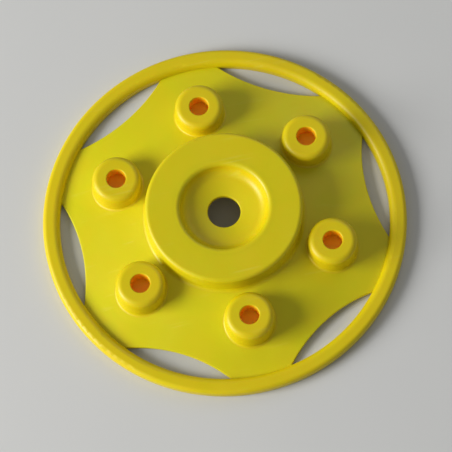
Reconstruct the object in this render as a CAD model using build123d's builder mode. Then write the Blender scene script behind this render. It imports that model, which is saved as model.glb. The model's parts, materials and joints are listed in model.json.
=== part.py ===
"""Toy merry-go-round: a one-level turntable with six figure pegs, on a low pivot foot.

Frame: +Z up, z = 0 on the floor, the spin axis is Z and passes through the origin.
Units: millimetres and degrees.  Peg 1 stands on the +Y side, slot 1 is on the +X side.
"""

from build123d import *
from math import atan2, cos, pi, radians, sin, tan
import os

# --- Hand rail: the ring that runs round the outside -----------------------------------
rail_diameter = 100.0       # over everything
rail_width = 4.65           # radial width of the bar
rail_height = 3.2
rail_floor_gap = 0.3        # daylight under the ring, so that it can turn
rail_outer_round = 1.2
rail_inner_round = 1.9
rail_under_round = 0.5

# --- Deck: the sloping floor between the hub and the ring ------------------------------
deck_wall = 1.1             # measured vertically
deck_slope = 10.5           # fall from the hub to the ring
deck_sink = 2.1             # how far the deck's outer edge lies below the ring's top
deck_edge_round = 0.3

# --- Slots: the six lens-shaped openings just inside the ring --------------------------
slot_span = 39.0            # angle between the two tips, seen from the axis
slot_width = 5.25           # at the middle, from the ring to the deck

# --- Pegs: one for each figure, they also set the number of slots ----------------------
peg_count = 6
peg_diameter = 13.4
peg_height = 6.6            # above the deck, at the peg's own axis
peg_round = 1.7
peg_hub_gap = 2.6           # clear deck between the hub and a peg
peg_hole_diameter = 5.3
peg_hole_floor = 2.4        # plastic left between the hole and the deck
peg_hole_round = 0.25

# --- Hub: the raised boss with a cup in its top ----------------------------------------
hub_diameter = 43.0
hub_step = 7.0              # above the deck, where the deck meets the hub
hub_round = 1.1
hub_wall = 2.0
cup_diameter = 24.0         # between its walls, at the mouth
cup_lean = 12.0             # of its wall, which closes in towards the floor
cup_depth = 4.4             # down to the edge of the bore
cup_dish = 1.2              # fall of the cup's floor towards the bore
cup_mouth_round = 1.4
cup_wall = 1.8
cup_floor_wall = 1.2

# --- Bearing: the bore in the cup's floor, and the tube that the cup's wall runs down to
bore_diameter = 9.0
bore_round = 0.3
journal_round = 0.4
running_gap = 0.25          # between the turning journal and the foot, on every side

# --- Pivot foot: what the turntable turns on, hidden under the hub ---------------------
foot_diameter = 44.0
foot_wall = 1.5
foot_hole_diameter = 18.0
foot_round = 0.4
socket_wall = 2.0
socket_headroom = 0.8       # from the socket's top to the underside of the hub's top

# --- Sizes that follow from those above ------------------------------------------------
rail_outer = rail_diameter / 2
rail_inner = rail_outer - rail_width
rail_bottom = rail_floor_gap
rail_top = rail_bottom + rail_height

hub_radius = hub_diameter / 2
peg_circle = hub_radius + peg_hub_gap + peg_diameter / 2
deck_edge_z = rail_top - deck_sink


def deck_z(radius):
    """Height of the deck's upper surface at a distance from the axis."""
    return deck_edge_z + (rail_inner - radius) * tan(radians(deck_slope))


hub_top = deck_z(hub_radius) + hub_step
peg_top = deck_z(peg_circle) + peg_height
cup_radius = cup_diameter / 2
cup_floor_z = hub_top - cup_depth
cup_under_z = cup_floor_z - cup_floor_wall
cup_rim_z = cup_floor_z + cup_dish
cup_floor_radius = cup_radius - (hub_top - cup_rim_z) * tan(radians(cup_lean))

bore_radius = bore_diameter / 2
cup_wall_length = (hub_top - cup_rim_z) / cos(radians(cup_lean))
cup_mouth_turn = pi / 2 - radians(cup_lean)
cup_floor_turn = cup_mouth_turn - atan2(cup_dish, cup_floor_radius - bore_radius)
cup_wall_left = cup_wall_length - cup_mouth_round * tan(cup_mouth_turn / 2)
cup_floor_round = 0.9 * cup_wall_left / tan(cup_floor_turn / 2)     # near the fullest
journal_radius = cup_radius + cup_wall
journal_bottom = foot_wall + running_gap
socket_radius = journal_radius + running_gap
socket_top = hub_top - hub_wall - socket_headroom

slot_pitch = 360 / peg_count
slot_tip_x = rail_inner * cos(radians(slot_span / 2))
slot_half_chord = rail_inner * sin(radians(slot_span / 2))
slot_sagitta = slot_tip_x - (rail_inner - slot_width)
slot_arc_radius = (slot_half_chord**2 + slot_sagitta**2) / (2 * slot_sagitta)
slot_arc_centre = rail_inner - slot_width + slot_arc_radius


def round_corner(section, radius, x, z):
    """Round the corner of a section that lies nearest to a point."""
    corner = section.vertices().sort_by_distance((x, z))[0]
    fillet(corner, radius)


os.makedirs("parts", exist_ok=True)

# --- Ring ------------------------------------------------------------------------------
# A flat-topped bar: a tight round outside and a generous one on the side of the hand.
with BuildPart() as hand_rail:
    with BuildSketch(Plane.XZ) as rail_section:
        with Locations(((rail_inner + rail_outer) / 2, (rail_bottom + rail_top) / 2)):
            Rectangle(rail_width, rail_height)
        round_corner(rail_section, rail_outer_round, rail_outer, rail_top)
        round_corner(rail_section, rail_inner_round, rail_inner, rail_top)
        round_corner(rail_section, rail_under_round, rail_outer, rail_bottom)
    revolve(axis=Axis.Z)
hand_rail.part.label = "hand_rail"

# --- Deck ------------------------------------------------------------------------------
# A conical sheet from the hub's wall to the ring's wall, cut away along six arcs.
with BuildPart() as deck:
    with BuildSketch(Plane.XZ):
        with BuildLine():
            Polyline(
                (hub_radius, deck_z(hub_radius)),
                (rail_inner, deck_edge_z),
                (rail_inner, deck_edge_z - deck_wall),
                (hub_radius, deck_z(hub_radius) - deck_wall),
                close=True,
            )
        make_face()
    revolve(axis=Axis.Z)
    with BuildSketch():
        with PolarLocations(slot_arc_centre, peg_count):
            Circle(slot_arc_radius)
    extrude(amount=hub_top, mode=Mode.SUBTRACT)
    cut_faces = deck.faces().filter_by(GeomType.CYLINDER).filter_by(
        lambda face: abs(face.radius - slot_arc_radius) < deck_edge_round
    )
    long_edges = [
        edge
        for face in cut_faces
        for edge in face.edges()
        if edge.length > slot_half_chord
    ]
    fillet(long_edges, deck_edge_round)
deck.part.label = "deck"

# --- Hub -------------------------------------------------------------------------------
# A hollow boss: a skirt that stands on the deck, and a flat top round the cup.
hub_skirt_z = deck_z(hub_radius) - deck_wall
hub_under_z = hub_top - hub_wall

with BuildPart() as hub:
    with BuildSketch(Plane.XZ) as hub_section:
        with BuildLine():
            Polyline(
                (hub_radius, hub_skirt_z),
                (hub_radius, hub_top),
                (journal_radius, hub_top),
                (journal_radius, hub_under_z),
                (hub_radius - hub_wall, hub_under_z),
                (hub_radius - hub_wall, hub_skirt_z),
                close=True,
            )
        make_face()
        round_corner(hub_section, hub_round, hub_radius, hub_top)
    revolve(axis=Axis.Z)
hub.part.label = "hub"

# --- Cup -------------------------------------------------------------------------------
# The dished recess in the hub, with the bore through its floor.
with BuildPart() as cup:
    with BuildSketch(Plane.XZ) as cup_section:
        with BuildLine():
            Polyline(
                (journal_radius, cup_under_z),
                (journal_radius, hub_top),
                (cup_radius, hub_top),
                (cup_floor_radius, cup_rim_z),
                (bore_radius, cup_floor_z),
                (bore_radius, cup_under_z),
                close=True,
            )
        make_face()
        round_corner(cup_section, cup_mouth_round, cup_radius, hub_top)
        round_corner(cup_section, cup_floor_round, cup_floor_radius, cup_rim_z)
        round_corner(cup_section, bore_round, bore_radius, cup_floor_z)
    revolve(axis=Axis.Z)
cup.part.label = "cup"

# --- Journal ---------------------------------------------------------------------------
# The tube that carries the cup's wall down into the foot.  The turntable turns on it.
with BuildPart() as journal:
    with BuildSketch(Plane.XZ) as journal_section:
        with BuildLine():
            Polyline(
                (cup_radius, journal_bottom),
                (journal_radius, journal_bottom),
                (journal_radius, cup_under_z),
                (cup_radius, cup_under_z),
                close=True,
            )
        make_face()
        round_corner(journal_section, journal_round, journal_radius, journal_bottom)
    revolve(axis=Axis.Z)
journal.part.label = "journal"

# --- Pegs ------------------------------------------------------------------------------
# Upright studs with a blind hole.  The foot of each is cut to the slope of the deck.
for index in range(peg_count):
    angle = 90 - index * slot_pitch
    centre = (peg_circle * cos(radians(angle)), peg_circle * sin(radians(angle)))
    with BuildPart() as peg:
        with BuildSketch(Plane.XY.offset(deck_edge_z)):
            with Locations(centre):
                Circle(peg_diameter / 2)
        extrude(amount=peg_top - deck_edge_z)
        with BuildSketch(Plane.XY.offset(peg_top)):
            with Locations(centre):
                Circle(peg_hole_diameter / 2)
        extrude(amount=peg_hole_floor - peg_height, mode=Mode.SUBTRACT)
        top_edges = peg.faces().sort_by(Axis.Z)[-1].edges().sort_by(SortBy.RADIUS)
        fillet(top_edges[-1], peg_round)
        mouth = peg.edges().filter_by(GeomType.CIRCLE).group_by(Axis.Z)[-1]
        fillet(mouth.sort_by(SortBy.RADIUS)[0], peg_hole_round)
        with BuildSketch(Plane.XZ):
            with BuildLine():
                Polyline(
                    (0, 0),
                    (0, deck_z(0)),
                    (rail_inner, deck_edge_z),
                    (rail_inner, 0),
                    close=True,
                )
            make_face()
        revolve(axis=Axis.Z, mode=Mode.SUBTRACT)
    peg.part.label = f"peg_{index + 1}"
    export_step(peg.part, f"parts/peg_{index + 1}.step")

# --- Pivot foot ------------------------------------------------------------------------
# A flat plate, open in the middle so that the bore stays open from top to bottom.
with BuildPart() as foot_plate:
    with BuildSketch(Plane.XZ) as plate_section:
        with BuildLine():
            Polyline(
                (foot_hole_diameter / 2, 0),
                (foot_diameter / 2, 0),
                (foot_diameter / 2, foot_wall),
                (foot_hole_diameter / 2, foot_wall),
                close=True,
            )
        make_face()
        round_corner(plate_section, foot_round, foot_diameter / 2, foot_wall)
    revolve(axis=Axis.Z)
foot_plate.part.label = "foot_plate"

# The socket stands on the plate, and the journal turns inside it.
with BuildPart() as foot_socket:
    with BuildSketch(Plane.XZ) as socket_section:
        with BuildLine():
            Polyline(
                (socket_radius, foot_wall),
                (socket_radius + socket_wall, foot_wall),
                (socket_radius + socket_wall, socket_top),
                (socket_radius, socket_top),
                close=True,
            )
        make_face()
        round_corner(socket_section, foot_round, socket_radius + socket_wall, socket_top)
        round_corner(socket_section, foot_round, socket_radius, socket_top)
    revolve(axis=Axis.Z)
foot_socket.part.label = "foot_socket"

for piece in (hand_rail, deck, hub, cup, journal, foot_plate, foot_socket):
    export_step(piece.part, f"parts/{piece.part.label}.step")
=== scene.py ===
import json
import math

import bpy
from bpy.props import FloatProperty, FloatVectorProperty, IntProperty, PointerProperty
from mathutils import Matrix, Vector


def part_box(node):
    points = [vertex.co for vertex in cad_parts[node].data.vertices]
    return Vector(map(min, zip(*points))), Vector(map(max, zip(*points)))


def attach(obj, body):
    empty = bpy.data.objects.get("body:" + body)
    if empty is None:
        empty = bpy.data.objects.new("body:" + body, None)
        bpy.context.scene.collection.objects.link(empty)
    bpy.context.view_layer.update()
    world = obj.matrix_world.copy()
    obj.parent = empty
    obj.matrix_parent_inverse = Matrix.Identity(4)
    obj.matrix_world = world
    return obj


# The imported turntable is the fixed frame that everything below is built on.
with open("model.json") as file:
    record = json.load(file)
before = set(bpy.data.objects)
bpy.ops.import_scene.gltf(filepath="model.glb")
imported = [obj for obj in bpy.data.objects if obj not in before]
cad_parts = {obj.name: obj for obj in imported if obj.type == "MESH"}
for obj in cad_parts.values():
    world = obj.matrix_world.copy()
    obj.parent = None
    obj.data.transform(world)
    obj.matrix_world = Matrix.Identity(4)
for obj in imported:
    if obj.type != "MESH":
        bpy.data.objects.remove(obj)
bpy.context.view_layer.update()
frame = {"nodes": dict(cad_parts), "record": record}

bl_info = {
    "name": "Toy merry-go-round turntable",
    "version": (1, 0, 0),
    "blender": (4, 5, 0),
    "location": "3D View > Sidebar > Merry-go-round",
    "description": "Gives a moulded toy turntable its finish, its eased corners and a stage",
    "category": "Object",
}

MM = 0.001
SAME_PLACE = 0.01 * MM      # points closer than this to a ring's radius or height lie on it
WELD_REACH = 0.004 * MM     # points closer than this are merged
SMOOTH_UP_TO = 50           # degrees between faces that are shaded as one
HUB_POINTS = 192            # points round the hub's root
PEG_POINTS = 96             # points round a peg's root
FLOOR_SIDE = 3.0
SENSOR_WIDTH = 36           # of the camera, in millimetres
NEAREST_VIEW = 0.01

SCUFFED_PLASTIC = "#E9E060"
SCUFF_WHITENING = 0.22      # how far a scuff goes towards that colour
SCUFF_DULLING = 0.2         # roughness that a scuff adds
CLOUDED_PAINT = "#D3D3D0"
ROOM_WHITE = "#F2F5FA"

TURNTABLE_BODY = "turntable"
PEG_NODES = sorted(name for name in frame["nodes"] if name.startswith("peg_"))
HUB_NODES = ("hub", "cup", "journal")
FOOT_NODES = ("foot_plate", "foot_socket")
MOUNTS = {mount["name"]: mount for mount in frame["record"]["mounts"]}
PEG_CIRCLE = MOUNTS["peg_holes"]["dims"]["pcd_mm"] / 2 * MM     # radius that the pegs stand on


def linear(hex_colour):
    """Turn an sRGB hex colour into the linear red, green and blue that shaders take."""
    channels = [int(hex_colour[start:start + 2], 16) / 255 for start in (1, 3, 5)]
    return tuple(
        channel / 12.92 if channel <= 0.04045 else ((channel + 0.055) / 1.055) ** 2.4
        for channel in channels
    )


# --- Settings ------------------------------------------------------------------------------

class MouldingSettings(bpy.types.PropertyGroup):
    """Sizes of the eased corners, where walls grow out of the deck."""

    deck_slope: FloatProperty(
        name="Deck slope",
        description="Fall of the deck from the hub to the hand rail",
        default=math.radians(10.5),
        subtype="ANGLE",
    )
    deck_wall: FloatProperty(
        name="Deck wall",
        description="Thickness of the deck, measured vertically",
        default=1.1 * MM,
        unit="LENGTH",
    )
    hub_ease: FloatProperty(
        name="Hub root round",
        description="Radius of the round between the hub's wall and the deck",
        default=1.0 * MM,
        unit="LENGTH",
    )
    peg_ease: FloatProperty(
        name="Peg root round",
        description="Radius of the round between a peg and the deck",
        default=0.7 * MM,
        unit="LENGTH",
    )
    root_bury: FloatProperty(
        name="Root bury",
        description="How far an eased corner reaches into the walls that it joins",
        default=0.35 * MM,
        unit="LENGTH",
    )
    ease_steps: IntProperty(
        name="Round steps",
        description="Facets across an eased corner",
        default=8,
    )


class PlasticSettings(bpy.types.PropertyGroup):
    """Colour and surface of the moulded plastic."""

    # Painted light: the deck, the hub and the thick parts are one plastic in three hues, set
    # apart to copy how light fell on each part. The deck's greener hue is painted reflection of
    # blue-green light bounced onto it, not a thinner wall.
    deck_colour_with_painted_light: FloatVectorProperty(
        name="Deck colour with painted light",
        description="Colour of the deck, a thin sheet that shows the pigment at its palest",
        default=linear("#DAD209"),
        size=3,
        subtype="COLOR",
    )
    hub_colour: FloatVectorProperty(
        name="Hub colour",
        description="Colour of the hub, the cup and the journal",
        default=linear("#DACC06"),
        size=3,
        subtype="COLOR",
    )
    # Painted light: this warmer hue copies the warmer light on the rail and the pegs; their
    # plastic is the deck's.
    rail_and_peg_colour_with_painted_light: FloatVectorProperty(
        name="Rail and peg colour with painted light",
        description="Colour of the pegs and the hand rail, deepest and warmest in thick plastic",
        default=linear("#DECA06"),
        size=3,
        subtype="COLOR",
    )
    # Used twice: as the warmer tint of the melt's flow lines, and as the painted glow put into
    # holes and corners.
    flow_tint_and_painted_glow_colour: FloatVectorProperty(
        name="Glow colour",
        description="Colour of light that has crossed the plastic, seen in holes and corners",
        default=linear("#FFBE18"),
        size=3,
        subtype="COLOR",
    )
    flow_share: FloatProperty(
        name="Flow lines",
        description="How much of the warmer colour gathers along the flow of the melt",
        default=0.12,
        min=0,
        max=1,
        subtype="FACTOR",
    )
    foot_colour: FloatVectorProperty(
        name="Foot colour",
        description="Colour of the pivot foot, moulded from another batch",
        default=linear("#D2C00E"),
        size=3,
        subtype="COLOR",
    )
    gloss_roughness: FloatProperty(
        name="Roughness",
        description="Roughness of the moulded skin before wear",
        default=0.40,
        min=0,
        max=1,
        subtype="FACTOR",
    )
    glow_reach: FloatProperty(
        name="Glow reach",
        description="How near the walls round a spot must stand for their light to colour it",
        default=8.0 * MM,
        unit="LENGTH",
    )
    glow_depth: FloatProperty(
        name="Glow depth",
        description="How far red light travels inside the plastic",
        default=2.5 * MM,
        unit="LENGTH",
    )


class StageSettings(bpy.types.PropertyGroup):
    """Camera, lights and floor."""

    camera_distance: FloatProperty(
        name="Camera distance",
        description="From the middle of the turntable",
        default=0.7155,
        unit="LENGTH",
    )
    camera_tilt: FloatProperty(
        name="Camera tilt",
        description="Off the vertical, towards the viewer",
        default=math.radians(18.87),
        subtype="ANGLE",
    )
    camera_turn: FloatProperty(
        name="Camera turn",
        description="Round the spin axis, from straight in front",
        default=math.radians(-8.86),
        subtype="ANGLE",
    )
    camera_roll: FloatProperty(
        name="Camera roll",
        description="About its own line of sight",
        default=math.radians(4.31),
        subtype="ANGLE",
    )
    camera_lens: FloatProperty(
        name="Lens",
        description="Focal length, for a sensor 36 mm wide",
        default=207.5,
    )
    camera_aim: FloatVectorProperty(
        name="Aim offset",
        description="Side and upward shift of the camera, and the height of its target",
        default=(0.2147 * MM, -2.003 * MM, 2.4 * MM),
        size=3,
        subtype="TRANSLATION",
    )
    key_turn: FloatProperty(
        name="Key light turn",
        description="Direction the key light comes from, round the spin axis",
        default=math.radians(184),
        subtype="ANGLE",
    )
    key_height: FloatProperty(
        name="Key light height",
        description="Height of the key light above the horizon",
        default=math.radians(27),
        subtype="ANGLE",
    )
    key_size: FloatProperty(
        name="Key light size",
        description="Side of the square key light",
        default=0.60,
        unit="LENGTH",
    )
    key_power: FloatProperty(
        name="Key light power",
        description="Power of the key light",
        default=17.2,
        unit="POWER",
    )
    fill_turn: FloatProperty(
        name="Fill light turn",
        description="Direction the weak fill light comes from, round the spin axis",
        default=math.radians(50),
        subtype="ANGLE",
    )
    fill_height: FloatProperty(
        name="Fill light height",
        description="Height of the fill light above the horizon",
        default=math.radians(40),
        subtype="ANGLE",
    )
    fill_size: FloatProperty(
        name="Fill light size",
        description="Side of the square fill light",
        default=0.7,
        unit="LENGTH",
    )
    fill_power: FloatProperty(
        name="Fill light power",
        description="Power of the fill light",
        default=1.3,
        unit="POWER",
    )
    light_distance: FloatProperty(
        name="Light distance",
        description="From the middle of the turntable to each light",
        default=1.2,
        unit="LENGTH",
    )
    room_light: FloatProperty(
        name="Room light",
        description="Strength of the even light from all round",
        default=0.23,
        min=0,
    )
    floor_colour: FloatVectorProperty(
        name="Floor colour",
        description="Colour of the pale studio floor",
        default=linear("#D9D8D4"),
        size=3,
        subtype="COLOR",
    )


# --- Shading tools -------------------------------------------------------------------------

def add_node(tree, kind, place, settings=None, values=None, links=None):
    """Add a shader node at a place, set it up by name and link its inputs."""
    node = tree.nodes.new(kind)
    node.location = place
    for name, value in (settings or {}).items():
        setattr(node, name, value)
    for name, value in (values or {}).items():
        node.inputs[name].default_value = value
    for name, source in (links or {}).items():
        tree.links.new(source, node.inputs[name])
    return node


def empty_material(name):
    """Return a new material, its node tree with nothing in it."""
    material = bpy.data.materials.new(name)
    material.use_nodes = True
    material.node_tree.nodes.clear()
    return material


def per_mm(size):
    """Pattern scale, on coordinates in metres, whose features are size millimetres apart."""
    return 1 / (size * MM)


def scuff_lines(tree, position, turn, spacing, place):
    """Thin, sparse hairlines that run one way: noise drawn out along one axis and cut high."""
    x, y = place
    turned = add_node(
        tree, "ShaderNodeMapping", (x, y),
        values={"Rotation": (0, 0, math.radians(turn)), "Scale": (0.035, 1, 0.6)},
        links={"Vector": position},
    )
    drawn = add_node(
        tree, "ShaderNodeTexNoise", (x + 200, y),
        values={"Scale": per_mm(spacing), "Detail": 2, "Roughness": 0.55},
        links={"Vector": turned.outputs["Vector"]},
    )
    return add_node(
        tree, "ShaderNodeMapRange", (x + 400, y),
        settings={"interpolation_type": "SMOOTHSTEP"},
        values={"From Min": 0.655, "From Max": 0.70},
        links={"Value": drawn.outputs["Fac"]},
    )


def moulded_polyethylene(name, base_colour, plastic):
    """Injection-moulded polyethylene: a slightly waxy, see-into skin that takes soft highlights.

    Flow of the melt leaves broad, faint changes of colour.  The mould's polish leaves a fine
    orange peel, play leaves hairline scuffs and duller patches.  Painted glow pushes the colour
    towards orange in holes, troughs and corners.
    """
    material = empty_material(name)
    tree = material.node_tree
    where = add_node(tree, "ShaderNodeTexCoord", (-1700, 0)).outputs["Object"]

    # Melt flow: clouds about 14 mm across, with finer swirls inside them.
    flow = add_node(
        tree, "ShaderNodeTexNoise", (-1200, 500),
        values={"Scale": per_mm(14), "Detail": 4, "Roughness": 0.5, "Distortion": 0.8},
        links={"Vector": where},
    )
    gathered = add_node(
        tree, "ShaderNodeMapRange", (-1000, 500),
        values={"From Min": 0.35, "From Max": 0.65, "To Max": plastic.flow_share},
        links={"Value": flow.outputs["Fac"]},
    )
    # The base colour of the deck, the rail and the pegs holds painted light.
    pigment = add_node(
        tree, "ShaderNodeMix", (-800, 500),
        settings={"data_type": "RGBA"},
        values={"A": (*base_colour, 1), "B": (*plastic.flow_tint_and_painted_glow_colour, 1)},
        links={"Factor": gathered.outputs["Result"]},
    )

    # Painted glow and shade: where walls stand close round a spot, in a corner, a trough, the cup
    # and the peg holes, the colour is pushed towards the glow colour.  This paints in the warmer
    # light that has bounced off or crossed the plastic there.  In a hole all of it has, so more
    # of it sinks in there, as subsurface weight.
    reach = add_node(
        tree, "ShaderNodeAmbientOcclusion", (-1200, 800),
        settings={"samples": 6, "only_local": True},
        values={"Distance": plastic.glow_reach},
    )
    painted_glow_mask = add_node(
        tree, "ShaderNodeMapRange", (-1000, 800),
        settings={"interpolation_type": "SMOOTHSTEP"},
        values={"From Min": 0.92, "From Max": 0.3},
        links={"Value": reach.outputs["AO"]},
    )
    sinking_in = add_node(
        tree, "ShaderNodeMapRange", (-1000, 1050),
        settings={"interpolation_type": "SMOOTHSTEP"},
        values={"From Min": 0.6, "From Max": 0.3, "To Min": 0.12, "To Max": 0.9},
        links={"Value": reach.outputs["AO"]},
    )
    # Painted glow: the colour is mixed towards orange where walls shut a spot in.
    painted_glow = add_node(
        tree, "ShaderNodeMix", (-600, 700),
        settings={"data_type": "RGBA"},
        values={"B": (*plastic.flow_tint_and_painted_glow_colour, 1)},
        links={"Factor": painted_glow_mask.outputs["Result"], "A": pigment.outputs[2]},
    )

    # Hairline scuffs from play, in two directions, about 1.5 mm apart where they gather.
    first_scuffs = scuff_lines(tree, where, 24, 1.4, (-1400, 100))
    second_scuffs = scuff_lines(tree, where, -51, 1.7, (-1400, -150))
    scuffs = add_node(
        tree, "ShaderNodeMath", (-800, 0),
        settings={"operation": "MAXIMUM"},
        links={0: first_scuffs.outputs["Result"], 1: second_scuffs.outputs["Result"]},
    )
    handled = add_node(
        tree, "ShaderNodeTexNoise", (-1200, -400),
        values={"Scale": per_mm(9), "Detail": 3},
        links={"Vector": where},
    )
    worn = add_node(
        tree, "ShaderNodeMapRange", (-1000, -400),
        values={"From Min": 0.45, "From Max": 0.7},
        links={"Value": handled.outputs["Fac"]},
    )
    worn_scuffs = add_node(
        tree, "ShaderNodeMath", (-600, -100),
        settings={"operation": "MULTIPLY"},
        links={0: scuffs.outputs["Value"], 1: worn.outputs["Result"]},
    )
    # Scuffed polyethylene whitens a little.
    whitening = add_node(
        tree, "ShaderNodeMath", (-600, 200),
        settings={"operation": "MULTIPLY"},
        values={1: SCUFF_WHITENING},
        links={0: worn_scuffs.outputs["Value"]},
    )
    colour = add_node(
        tree, "ShaderNodeMix", (-400, 400),
        settings={"data_type": "RGBA"},
        values={"B": (*linear(SCUFFED_PLASTIC), 1)},
        links={"Factor": whitening.outputs["Value"], "A": painted_glow.outputs[2]},
    )

    # Roughness: the mould's polish, dulled in clouds and along the scuffs.
    dulled = add_node(
        tree, "ShaderNodeMapRange", (-800, -400),
        values={
            "From Min": 0.3, "From Max": 0.75,
            "To Min": plastic.gloss_roughness - 0.04, "To Max": plastic.gloss_roughness + 0.12,
        },
        links={"Value": handled.outputs["Fac"]},
    )
    roughness = add_node(
        tree, "ShaderNodeMath", (-400, -300),
        settings={"operation": "MULTIPLY_ADD"},
        values={1: SCUFF_DULLING},
        links={0: worn_scuffs.outputs["Value"], 2: dulled.outputs["Result"]},
    )

    # Relief: broad sink, then orange peel about 0.9 mm across, then the scuffs.
    sink = add_node(
        tree, "ShaderNodeTexNoise", (-1200, -700),
        values={"Scale": per_mm(6), "Detail": 1},
        links={"Vector": where},
    )
    peel = add_node(
        tree, "ShaderNodeTexNoise", (-1200, -950),
        values={"Scale": per_mm(0.9), "Detail": 2},
        links={"Vector": where},
    )
    sink_relief = add_node(
        tree, "ShaderNodeBump", (-700, -700),
        values={"Strength": 0.25, "Distance": 0.22 * MM},
        links={"Height": sink.outputs["Fac"]},
    )
    peel_relief = add_node(
        tree, "ShaderNodeBump", (-450, -800),
        values={"Strength": 0.20, "Distance": 0.04 * MM},
        links={"Height": peel.outputs["Fac"], "Normal": sink_relief.outputs["Normal"]},
    )
    relief = add_node(
        tree, "ShaderNodeBump", (-200, -700),
        settings={"invert": True},
        values={"Strength": 0.3, "Distance": 0.03 * MM},
        links={"Height": worn_scuffs.outputs["Value"], "Normal": peel_relief.outputs["Normal"]},
    )

    skin = add_node(
        tree, "ShaderNodeBsdfPrincipled", (0, 0),
        settings={"subsurface_method": "RANDOM_WALK"},
        values={
            "IOR": 1.51,
            "Specular IOR Level": 0.36,
            "Subsurface Radius": (1.0, 0.42, 0.03),
            "Subsurface Scale": plastic.glow_depth,
        },
        links={
            "Base Color": colour.outputs[2],
            "Subsurface Weight": sinking_in.outputs["Result"],
            "Roughness": roughness.outputs["Value"],
            "Normal": relief.outputs["Normal"],
        },
    )
    add_node(
        tree, "ShaderNodeOutputMaterial", (300, 0),
        links={"Surface": skin.outputs["BSDF"]},
    )
    return material


def studio_floor_board(colour):
    """Pale matt board: a faint tooth and the slight clouding of rolled paint."""
    material = empty_material("painted_studio_board")
    tree = material.node_tree
    where = add_node(tree, "ShaderNodeTexCoord", (-900, 0)).outputs["Object"]
    clouds = add_node(
        tree, "ShaderNodeTexNoise", (-700, 100),
        values={"Scale": per_mm(60), "Detail": 3},
        links={"Vector": where},
    )
    tooth = add_node(
        tree, "ShaderNodeTexNoise", (-700, -200),
        values={"Scale": per_mm(1.2), "Detail": 2},
        links={"Vector": where},
    )
    paint = add_node(
        tree, "ShaderNodeMix", (-400, 100),
        settings={"data_type": "RGBA"},
        values={"A": (*colour, 1), "B": (*linear(CLOUDED_PAINT), 1)},
        links={"Factor": clouds.outputs["Fac"]},
    )
    relief = add_node(
        tree, "ShaderNodeBump", (-400, -200),
        values={"Strength": 0.15, "Distance": 0.05 * MM},
        links={"Height": tooth.outputs["Fac"]},
    )
    board = add_node(
        tree, "ShaderNodeBsdfPrincipled", (-100, 0),
        values={"Roughness": 0.8, "IOR": 1.45},
        links={"Base Color": paint.outputs[2], "Normal": relief.outputs["Normal"]},
    )
    add_node(
        tree, "ShaderNodeOutputMaterial", (200, 0),
        links={"Surface": board.outputs["BSDF"]},
    )
    return material


# --- Modelling tools -----------------------------------------------------------------------

def select_rings(mesh_object, radius, height=None):
    """In edit mode, select just the loops of points at a radius, or only the one at a height."""
    bpy.ops.mesh.select_all(action="DESELECT")
    bpy.ops.object.mode_set(mode="OBJECT")
    for vertex in mesh_object.data.vertices:
        at_radius = abs(vertex.co.xy.length - radius) < SAME_PLACE
        at_height = height is None or abs(vertex.co.z - height) < SAME_PLACE
        vertex.select = at_radius and at_height
    bpy.ops.object.mode_set(mode="EDIT")


def extrude_ring(old_radius, new_radius, rise):
    """Extrude the selected loop to a new radius, and lift it."""
    bpy.ops.mesh.extrude_region_move(TRANSFORM_OT_translate={"value": (0, 0, rise)})
    ratio = new_radius / old_radius
    bpy.ops.transform.resize(value=(ratio, ratio, 1), center_override=(0, 0, 0))


def eased_corner(name, wall_radius, ease, fall, moulding, points):
    """Model the round between an upright wall and the deck, centred on the origin.

    It is a closed ring.  Its concave side shows, and the rest is buried in the two walls.
    """
    bury = moulding.root_bury
    inner_radius = wall_radius - bury
    outer_radius = wall_radius + ease
    outer_height = -ease * fall
    bpy.ops.object.select_all(action="DESELECT")
    bpy.ops.mesh.primitive_circle_add(vertices=points, radius=inner_radius, location=(0, 0, 0))
    ring = bpy.context.object
    ring.name = name
    ring.data.name = name
    bpy.ops.object.mode_set(mode="EDIT")
    bpy.ops.mesh.select_all(action="SELECT")
    bpy.ops.transform.translate(value=(0, 0, ease))
    extrude_ring(inner_radius, wall_radius, 0)
    extrude_ring(wall_radius, wall_radius, -ease)
    extrude_ring(wall_radius, outer_radius, outer_height)
    extrude_ring(outer_radius, outer_radius, -bury)
    extrude_ring(outer_radius, inner_radius, -outer_height)

    # Close the ring inside the walls.
    select_rings(ring, inner_radius)
    bpy.ops.mesh.bridge_edge_loops()

    # Turn the sharp corner into the concave round.  It stops a hair short of the two loops
    # beside it, and is then merged with them.
    select_rings(ring, wall_radius, 0)
    bpy.ops.mesh.bevel(
        offset=ease * 0.999, offset_type="OFFSET", segments=moulding.ease_steps, profile=0.5,
    )
    bpy.ops.mesh.select_all(action="SELECT")
    bpy.ops.mesh.remove_doubles(threshold=WELD_REACH)
    bpy.ops.mesh.normals_make_consistent(inside=False)
    bpy.ops.object.mode_set(mode="OBJECT")
    bpy.ops.object.shade_smooth_by_angle(angle=math.radians(SMOOTH_UP_TO))
    return ring


def move_mesh(piece, offset):
    """Place a piece by moving its points, which leaves its object at the origin."""
    piece.data.transform(Matrix.Translation(offset))
    piece.data.update()


def lay_on_deck(piece, circle, fall):
    """Settle a flat ring round a peg onto the conical deck."""
    for vertex in piece.data.vertices:
        vertex.co.z += (circle - vertex.co.xy.length) * fall
    piece.data.update()


def finish_piece(piece, material):
    """Give a turntable piece its plastic and let it turn with the turntable."""
    piece.data.materials.clear()
    piece.data.materials.append(material)
    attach(piece, TURNTABLE_BODY)


def plastic_of(node_name):
    """The material that the plastics operator gave to a node."""
    return frame["nodes"][node_name].material_slots[0].material


# --- Operators -----------------------------------------------------------------------------

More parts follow.
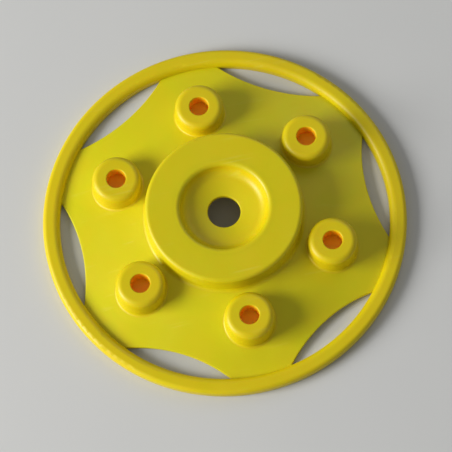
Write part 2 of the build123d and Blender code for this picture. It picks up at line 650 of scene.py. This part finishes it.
class FinishPlastics(bpy.types.Operator):
    """Give every moulded node its polyethylene"""

    bl_idname = "merry_go_round.finish_plastics"
    bl_label = "Finish plastics"

    def execute(self, context):
        plastic = context.scene.merry_plastic
        # Three hues of one plastic; the deck's and the thick parts' hues are painted light.
        batches = (
            ("moulded_polyethylene_deck_painted_light", plastic.deck_colour_with_painted_light, ["deck"]),
            ("moulded_polyethylene_hub", plastic.hub_colour, HUB_NODES),
            ("moulded_polyethylene_rail_pegs_painted_light", plastic.rail_and_peg_colour_with_painted_light, ["hand_rail", *PEG_NODES]),
            ("moulded_polyethylene_foot", plastic.foot_colour, FOOT_NODES),
        )
        for material_name, colour, node_names in batches:
            material = moulded_polyethylene(material_name, colour, plastic)
            for node_name in node_names:
                for slot in frame["nodes"][node_name].material_slots:
                    slot.material = material
        return {"FINISHED"}


class EaseHubRoot(bpy.types.Operator):
    """Round the corner where the hub's wall grows out of the deck"""

    bl_idname = "merry_go_round.ease_hub_root"
    bl_label = "Ease hub root"

    def execute(self, context):
        moulding = context.scene.merry_moulding
        hub_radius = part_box("hub")[1][0]
        deck_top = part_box("deck")[1][2]
        ring = eased_corner(
            "hub_root", hub_radius, moulding.hub_ease,
            math.tan(moulding.deck_slope), moulding, HUB_POINTS,
        )
        move_mesh(ring, (0, 0, deck_top))
        finish_piece(ring, plastic_of("hub"))
        return {"FINISHED"}


class EasePegRoots(bpy.types.Operator):
    """Round the corner at the foot of each peg"""

    bl_idname = "merry_go_round.ease_peg_roots"
    bl_label = "Ease peg roots"

    def execute(self, context):
        moulding = context.scene.merry_moulding
        fall = math.tan(moulding.deck_slope)
        deck_low, deck_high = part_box("deck")
        deck_height = deck_low[2] + moulding.deck_wall + (deck_high[1] - PEG_CIRCLE) * fall
        peg_low, peg_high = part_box(PEG_NODES[0])
        peg_radius = (peg_high[0] - peg_low[0]) / 2
        pattern = eased_corner(
            "peg_root", peg_radius, moulding.peg_ease, 0, moulding, PEG_POINTS,
        )
        for index, node in enumerate(PEG_NODES):
            low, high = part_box(node)
            angle = math.atan2(low[1] + high[1], low[0] + high[0])
            centre = (PEG_CIRCLE * math.cos(angle), PEG_CIRCLE * math.sin(angle))
            ring = pattern.copy()
            ring.data = pattern.data.copy()
            ring.name = f"peg_root_{index + 1}"
            ring.data.name = ring.name
            context.collection.objects.link(ring)
            move_mesh(ring, (centre[0], centre[1], deck_height))
            lay_on_deck(ring, PEG_CIRCLE, fall)
            finish_piece(ring, plastic_of(node))
        bpy.data.objects.remove(pattern, do_unlink=True)
        return {"FINISHED"}


class SetStage(bpy.types.Operator):
    """Lay the pale floor, light it softly and set up the camera"""

    bl_idname = "merry_go_round.set_stage"
    bl_label = "Set stage"

    def execute(self, context):
        stage = context.scene.merry_stage
        self.lay_floor(stage)
        self.light(context, stage)
        self.point_camera(context, stage)
        context.scene.view_settings.view_transform = "Standard"
        return {"FINISHED"}

    def lay_floor(self, stage):
        bpy.ops.object.select_all(action="DESELECT")
        bpy.ops.mesh.primitive_plane_add(size=FLOOR_SIDE, location=(0, 0, 0))
        floor = bpy.context.object
        floor.name = "studio_floor"
        floor.data.materials.append(studio_floor_board(stage.floor_colour))

    def light(self, context, stage):
        distance = stage.light_distance
        key = self.add_panel("key_light", stage.key_turn, stage.key_height, distance)
        key.size = stage.key_size
        key.energy = stage.key_power
        fill = self.add_panel("fill_light", stage.fill_turn, stage.fill_height, distance)
        fill.size = stage.fill_size
        fill.energy = stage.fill_power
        world = bpy.data.worlds.new("studio_room")
        world.use_nodes = True
        room = world.node_tree.nodes["Background"]
        room.inputs["Color"].default_value = (*linear(ROOM_WHITE), 1)
        room.inputs["Strength"].default_value = stage.room_light
        context.scene.world = world

    def add_panel(self, name, turn, height, distance):
        """Hang a square soft light that looks at the middle of the turntable."""
        direction = Vector((
            math.cos(turn) * math.cos(height),
            math.sin(turn) * math.cos(height),
            math.sin(height),
        ))
        bpy.ops.object.light_add(
            type="AREA",
            location=direction * distance,
            rotation=direction.to_track_quat("Z", "Y").to_euler(),
        )
        panel = bpy.context.object
        panel.name = name
        return panel.data

    def point_camera(self, context, stage):
        """Place the camera by its tilt, turn and roll round the middle of the turntable."""
        tilt = stage.camera_tilt
        across = Vector((1, 0, 0))
        upward = Vector((0, math.cos(tilt), math.sin(tilt)))
        back = Vector((0, -math.sin(tilt), math.cos(tilt)))
        side, lift, target_height = stage.camera_aim
        place = back * stage.camera_distance + across * side + upward * lift
        roll = stage.camera_roll
        right = across * math.cos(roll) - upward * math.sin(roll)
        top = across * math.sin(roll) + upward * math.cos(roll)
        facing = Matrix((right, top, back)).transposed().to_4x4()
        turn = Matrix.Rotation(stage.camera_turn, 4, "Z")
        lift_up = Matrix.Translation((0, 0, target_height))
        bpy.ops.object.camera_add()
        camera = bpy.context.object
        camera.name = "studio_camera"
        camera.matrix_world = lift_up @ turn @ Matrix.Translation(place) @ facing
        camera.data.sensor_width = SENSOR_WIDTH
        camera.data.lens = stage.camera_lens
        camera.data.clip_start = NEAREST_VIEW
        context.scene.camera = camera


class MerryGoRoundPanel(bpy.types.Panel):
    """Settings and steps for the turntable"""

    bl_idname = "VIEW3D_PT_merry_go_round"
    bl_label = "Merry-go-round"
    bl_space_type = "VIEW_3D"
    bl_region_type = "UI"
    bl_category = "Merry-go-round"

    def draw(self, context):
        layout = self.layout
        for group in (
            context.scene.merry_moulding,
            context.scene.merry_plastic,
            context.scene.merry_stage,
        ):
            box = layout.box()
            for name in group.__annotations__:
                box.prop(group, name)
        for step in STEPS:
            layout.operator(step.bl_idname)


STEPS = (FinishPlastics, EaseHubRoot, EasePegRoots, SetStage)
GROUPS = (MouldingSettings, PlasticSettings, StageSettings)


def register():
    for add_on_class in (*GROUPS, *STEPS, MerryGoRoundPanel):
        bpy.utils.register_class(add_on_class)
    bpy.types.Scene.merry_moulding = PointerProperty(type=MouldingSettings)
    bpy.types.Scene.merry_plastic = PointerProperty(type=PlasticSettings)
    bpy.types.Scene.merry_stage = PointerProperty(type=StageSettings)


def unregister():
    del bpy.types.Scene.merry_stage
    del bpy.types.Scene.merry_plastic
    del bpy.types.Scene.merry_moulding
    for add_on_class in reversed((*GROUPS, *STEPS, MerryGoRoundPanel)):
        bpy.utils.unregister_class(add_on_class)


def main():
    register()
    bpy.ops.merry_go_round.finish_plastics()
    bpy.ops.merry_go_round.ease_hub_root()
    bpy.ops.merry_go_round.ease_peg_roots()
    bpy.ops.merry_go_round.set_stage()


if __name__ == "__main__":
    main()
